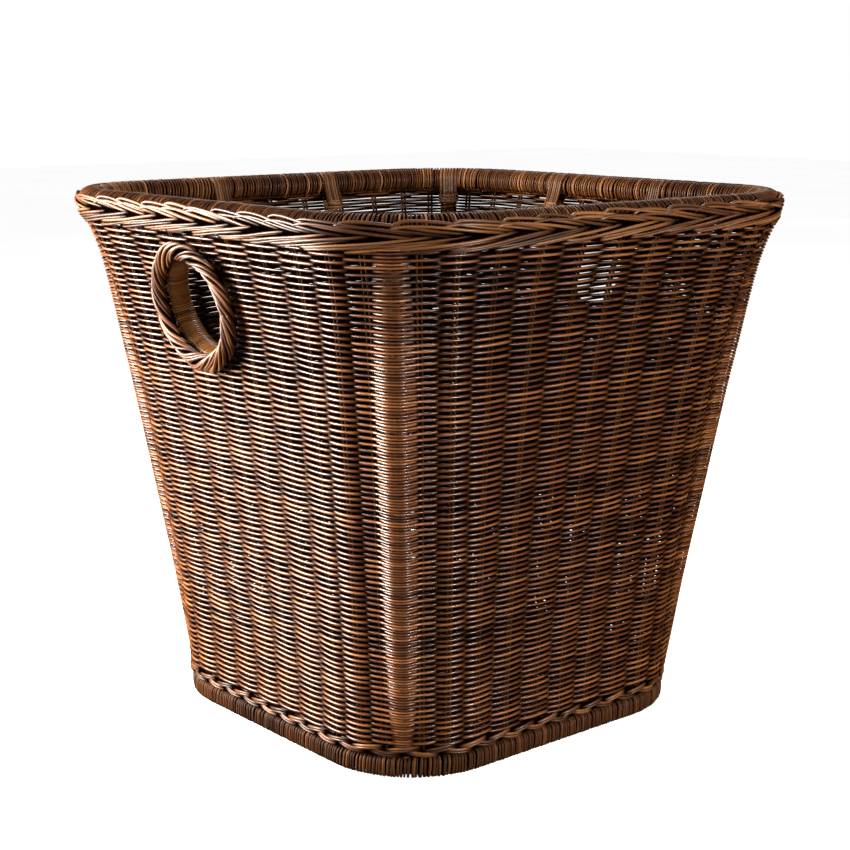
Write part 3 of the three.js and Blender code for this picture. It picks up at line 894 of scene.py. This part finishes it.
def border_strokes(stations, rises, depths, spreads, radius):
    """Short reeds laid in a row round the rim, each in a pair and each overlapping the next.

    stations count the pairs that a reed passes. At each, rises gives how far up the border the
    pair's upper reed is, spreads how far below it the other is, and depths how far out they are.
    """
    t = np.linspace(stations[0], stations[-1], 40)
    parts = []
    for k in (0, 1):
        rise = np.interp(t, stations, rises) - k * np.interp(t, stations, spreads)
        rise = np.convolve(np.pad(rise, 2, mode="edge"), [0.15, 0.22, 0.26, 0.22, 0.15], "valid")
        tilt, bow, phase, sink = rng.standard_normal((4, BORDER_PAIRS, 1))
        rise = rise + 0.3 * tilt + 0.4 * bow * t / stations[-1] + 0.22 * np.sin(3 * t + 3 * phase)
        depth = np.interp(t, stations, depths) - 0.35 * k + 0.2 * sink
        start = np.arange(BORDER_PAIRS)[:, None]
        start = start + 0.06 * rng.standard_normal((BORDER_PAIRS, 1))
        turn = (start + t - 0.04 * k) * 4 / BORDER_PAIRS
        point, facing = border_place(turn, rise, depth)
        thick = radius * (1 + 0.09 * rng.standard_normal((BORDER_PAIRS, 1)))
        taper = 1 - 0.25 * np.clip((t - stations[-1] + 0.5) / 0.5, 0, 1)
        # Reeds that lie deeper under others are painted darker, as shade.
        tuck = np.clip(-0.8 * depth, 0, 0.9)
        parts.append(tubes(point, facing, thick * taper, thick * taper, 8, tuck))
    return parts


def make_border():
    """The border outside the rim: loops running down to the right over reeds running up."""
    upper = border_strokes(
        stations=[0.0, 0.05, 0.12, 0.3, 0.6, 1.0, 1.5, 2.2, 2.9],
        rises=[1.6, 3.4, 4.5, 5.0, 4.8, 3.8, 2.0, -0.7, -3.4],
        depths=[-1.1, -0.2, 0.5, 0.7, 0.6, 0.5, 0.2, -0.2, -1.3],
        spreads=[1.2, 2.2, 2.6, 2.6, 2.2, 1.9, 1.8, 1.8, 1.8],
        radius=0.84,
    )
    lower = border_strokes(
        stations=[0.0, 0.25, 0.6, 1.1, 1.7, 2.4, 3.1],
        rises=[-11.0, -10.4, -9.3, -7.7, -5.8, -3.8, -1.8],
        depths=[-0.9, 0.2, 0.7, 0.7, 0.4, -0.3, -1.3],
        spreads=[1.7, 1.8, 1.8, 1.8, 1.7, 1.7, 1.7],
        radius=0.82,
    )
    make_piece("rim_border_upper", upper, TRIM, "border", "rim_border")
    make_piece("rim_border_lower", lower, TRIM, "border", "rim_border")


def make_wale():
    """The band above the foot: three pairs of reeds plaited round the basket."""
    periods, swing, lift = 15, 1.9, 1.1
    reach, height, radius = 6.2, 17.2, 0.82
    share = np.linspace(0, 1, 901)
    centre, out = ring_place(FOOT_HALF, FOOT_CORNER, 4 * share)
    parts = []
    for group in range(3):
        angle = 2 * math.pi * (periods * share + group / 3)
        for k in (-0.5, 0.5):
            beside = k * 2 * radius * 0.94
            wobble = 0.18 * radius * np.sin(7 * angle / periods + 6 * rng.random())
            across = swing * np.sin(angle) + beside + wobble
            away = reach + lift * np.sin(2 * angle)
            point = centre + out * away[:, None] + UP * (height + across)[:, None]
            # Where a reed dips under the others it is painted dark, as shade.
            tuck = 0.45 - 0.45 * np.sin(2 * angle)
            thick = radius * (1 + 0.06 * rng.standard_normal())
            parts.append(tubes(point[None], out[None], thick, thick, 8, tuck[None]))
    make_piece("foot_wale_plait", parts, TRIM, "border", "foot_wale")


# ---- hand holes -----------------------------------------------------------------------------

ROPE_REACH, ROPE_DEPTH = 35.1, 4.4     # from the hole's middle, and outside the wall
ROPE_HALF_WIDTH, ROPE_HALF_DEPTH = 5.3, 3.2
HOOP_REACH, HOOP_DEPTH = 32.4, -7.3
HOOP_HALF_WIDTH, HOOP_HALF_DEPTH = 3.2, 6.8


def hand_hole_point(side, reach, angle, depth):
    """A point at a reach and an angle round a hand hole, and a depth outside the wall."""
    x = HOLE_X[side] + reach * np.cos(angle)
    z = HOLE_Z + reach * HOLE_LIFT * np.sin(angle)
    return on_wall(side, x, z, depth)


def rope_place(side, share, across, height):
    """Point and facing direction of the rope ring, off its middle line by across and height."""
    angle = 2 * math.pi * share
    reach = ROPE_REACH + across
    point = hand_hole_point(side, reach, angle, ROPE_DEPTH + height)
    facing = hand_hole_point(side, reach, angle, 10.0) - hand_hole_point(side, reach, angle, 0.0)
    return point, unit(facing)


def rope_ring(side):
    """Reeds twisted into a rope round the outside of a hand hole, over a dark core."""
    reeds, twists = 12, 4
    core_half_width, core_half_depth = 4.0, 2.1
    share = np.linspace(0, 1, 361)
    parts = []
    for k in range(reeds):
        angle = 2 * math.pi * (twists * share + (k + 0.25 * rng.standard_normal()) / reeds)
        angle = angle + 0.22 * np.sin(6 * math.pi * share + 2.4 * k)
        fullness = 1 - 0.16 * rng.random() * (1 + np.sin(8 * math.pi * share + 1.7 * k))
        point, facing = rope_place(side, share, ROPE_HALF_WIDTH * fullness * np.cos(angle),
                                   ROPE_HALF_DEPTH * fullness * np.sin(angle))
        thick = 1 + 0.12 * rng.standard_normal()
        # Reeds on the side towards the wall are painted dark, as shade.
        tuck = np.clip(-np.sin(angle), 0, 1)
        parts.append(tubes(point[None], facing[None], thick, thick, 8, tuck[None]))
    point, facing = rope_place(side, share, 0 * share, 0 * share)
    # The core is painted all in crease shade (tuck 1.0), as it shows only between the reeds.
    parts.append(tubes(point[None], facing[None], core_half_width, core_half_depth, 12, 1.0))
    return parts


def wound_hoop(side):
    """A hoop inside a hand hole, with cane wound along all of it."""
    count, steps, start = 128, 14, 0.6
    cane_half_width, cane_half_depth = 0.68, 0.5
    turn = loop_angles(count, steps, start)
    angle = np.arange(count)[:, None] + (turn - start) / (2 * math.pi)
    angle = angle / count * 2 * math.pi
    reach = HOOP_REACH + HOOP_HALF_WIDTH * np.cos(turn)
    unevenness = 0.1 * rng.standard_normal((count, 1))
    depth = HOOP_DEPTH + HOOP_HALF_DEPTH * np.sin(turn) + unevenness
    centres = hand_hole_point(side, reach, angle, depth)
    middle = hand_hole_point(side, HOOP_REACH, angle, HOOP_DEPTH)
    wound = tubes(centres, unit(centres - middle), cane_half_width, cane_half_depth)
    around = np.linspace(0, 2 * math.pi, 97)[None, :]
    line = hand_hole_point(side, HOOP_REACH, around, HOOP_DEPTH)
    facing = hand_hole_point(side, 0, around, 5.0) - hand_hole_point(side, 0, around, 0.0)
    # The core is painted all in crease shade (tuck 1.0), as it shows only between the turns.
    core = tubes(line, facing, HOOP_HALF_WIDTH - 0.2, HOOP_HALF_DEPTH - 0.2, 12, 1.0)
    return [wound, core]


def make_handles():
    for side in (FRONT, BACK):
        name = SIDES[side]
        make_piece(f"{name}_handle_plait", rope_ring(side), TRIM, "handle",
                   f"{name}_handle_braid")
        make_piece(f"{name}_handle_winding", wound_hoop(side), POST_CANE, "tie",
                   f"{name}_handle_hoop")


# ---- base -----------------------------------------------------------------------------------

BASE_HALF, BASE_CORNER, BASE_Z = 123.2, 56.0, 15.7
BASE_ROW_PITCH, BASE_STICK_PITCH = 2.9, 11.0


def chord(distance):
    """Half the width of the base at a distance from its middle."""
    straight = BASE_HALF - BASE_CORNER
    past = np.maximum(np.abs(distance) - straight, 0)
    return straight + np.sqrt(np.maximum(BASE_CORNER**2 - past**2, 0))


def make_base_weave():
    """Flat rows woven over and under straight sticks, inside a plain edge hoop."""
    row_half_width, row_half_depth = 1.95, 1.1
    stick_half_width, stick_half_depth = 1.3, 0.9
    share = np.linspace(-1, 1, 181)
    y = np.arange(-BASE_HALF + 1.6, BASE_HALF - 1.2, BASE_ROW_PITCH)[:, None]
    x = chord(y) * share
    wave = np.cos(math.pi * (x / BASE_STICK_PITCH + np.arange(len(y))[:, None]))
    centres = stacked(x, y + 0.12 * np.sin(x / 9 + y), BASE_Z + 0.75 * wave)
    # Where a row dips under a stick it is painted dark, as shade; the sticks and the edge hoop are
    # painted partly dark too.
    tuck = np.clip(0.4 - 0.4 * wave, 0, 1)
    rows = tubes(centres, UP, row_half_width, row_half_depth, tuck=tuck)
    x = np.arange(-10, 11)[:, None] * BASE_STICK_PITCH
    sticks = stacked(x, chord(x) * share, BASE_Z)
    sticks = tubes(sticks, UP, stick_half_width, stick_half_depth, tuck=0.5)
    edge = ring_core(BASE_HALF + 0.8, BASE_CORNER, BASE_Z + 2.3, radius=1.8, tuck=0.4)
    make_piece("base_weave", [rows, sticks], BASE, "base", "base_panel")
    make_piece("base_edge", [edge], BASE, "base", "base_panel")


def make_base_bars():
    """Poles under the base, with the slight swellings of rattan's joints."""
    for name in ("base_bar_left", "base_bar_right"):
        low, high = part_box(name)
        centre = (low + high) / 2 / MM
        radius = (high.x - low.x) / 2 / MM
        along = np.linspace(low.y / MM, high.y / MM, 140)
        swelling = 0.94 + 0.06 * np.exp(-((along % 62 - 31) / 2.5) ** 2)
        line = stacked(centre.x, along, centre.z)
        bar = tubes(line[None], UP, radius * swelling[None], radius * swelling[None], 16, 0.1)
        make_piece(f"{name}_pole", [bar], POST_CANE, "pole", name)


# ---- studio ---------------------------------------------------------------------------------

def make_floor():
    """A pale paper floor, just below z = 0."""
    reach = 6.0
    corners = [(-reach, -reach, 0), (reach, -reach, 0), (reach, reach, 0), (-reach, reach, 0)]
    mesh = bpy.data.meshes.new("floor")
    mesh.from_pydata(corners, [], [(0, 1, 2, 3)])
    floor = bpy.data.objects.new("floor", mesh)
    floor.location.z = -0.0004
    n = Nodes("floor_paper")
    place = n.add("ShaderNodeTexCoord").outputs["Object"]
    tones = [(0.3, (0.93, 0.93, 0.93, 1)), (0.7, (0.96, 0.96, 0.96, 1))]
    colour = n.ramp(n.noise(place, (3, 3, 3)), tones)
    n.join(colour, n.shader.inputs["Base Color"])
    n.join(colour, n.shader.inputs["Emission Color"])
    n.shader.inputs["Emission Strength"].default_value = 1.0
    n.shader.inputs["Roughness"].default_value = 0.9
    mesh.materials.append(n.material)
    # The paper is lit as a backdrop is and throws no light back up on the basket.
    floor.visible_diffuse = False
    floor.visible_glossy = False
    bpy.context.scene.collection.objects.link(floor)
    floor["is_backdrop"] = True


def area_light(name, place, target, size, power, colour):
    """A rectangular lamp of a power in watts, aimed at a target."""
    data = bpy.data.lights.new(name, "AREA")
    data.shape = "RECTANGLE"
    data.size, data.size_y = size
    data.energy = power
    data.color = colour
    light = bpy.data.objects.new(name, data)
    light.location = place
    direction = Vector(target) - Vector(place)
    light.rotation_mode = "QUATERNION"
    light.rotation_quaternion = direction.to_track_quat("-Z", "Y")
    bpy.context.scene.collection.objects.link(light)


def make_studio():
    """Four lamps and a white backdrop that adds almost no light of its own."""
    low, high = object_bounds()
    middle = (low + high) / 2
    area_light("key", (-0.46, -0.62, 0.36), middle, (0.45, 0.4), 29, (1.0, 0.95, 0.88))
    area_light("fill", (1.9, 0.45, 0.50), middle, (0.35, 0.4), 39, (1.0, 0.97, 0.94))
    area_light("front", (1.0, -1.25, 0.40), middle, (0.5, 0.5), 3.5, (1.0, 0.96, 0.92))
    area_light("back", (-0.55, 0.65, 1.60), middle, (0.35, 0.3), 12, (1.0, 0.96, 0.92))
    world = bpy.data.worlds.new("studio")
    world.use_nodes = True
    background = world.node_tree.nodes["Background"]
    rays = world.node_tree.nodes.new("ShaderNodeLightPath")
    strength = world.node_tree.nodes.new("ShaderNodeMapRange")
    strength.inputs["To Min"].default_value = 0.02
    strength.inputs["To Max"].default_value = 1.0
    world.node_tree.links.new(rays.outputs["Is Camera Ray"], strength.inputs["Value"])
    world.node_tree.links.new(strength.outputs["Result"], background.inputs["Strength"])
    background.inputs["Color"].default_value = (1, 1, 1, 1)
    bpy.context.scene.world = world
    bpy.context.scene.view_settings.view_transform = "Standard"


def make_camera():
    """The camera looks down a little at the corner between the front and right sides."""
    data = bpy.data.cameras.new("camera")
    data.sensor_width = 36
    data.lens = 71.96
    camera = bpy.data.objects.new("camera", data)
    place = Vector((0.8213, -0.6939, 0.3999))
    target = Vector((0.0001, -0.0005, 0.1775))
    camera.location = place
    camera.rotation_mode = "QUATERNION"
    camera.rotation_quaternion = (target - place).to_track_quat("-Z", "Y")
    bpy.context.scene.collection.objects.link(camera)
    bpy.context.scene.camera = camera


make_weave()
make_stakes()
make_rim()
make_foot()
make_posts()
make_ties()
make_border()
make_wale()
make_handles()
make_base_weave()
make_base_bars()
make_floor()
make_studio()
make_camera()
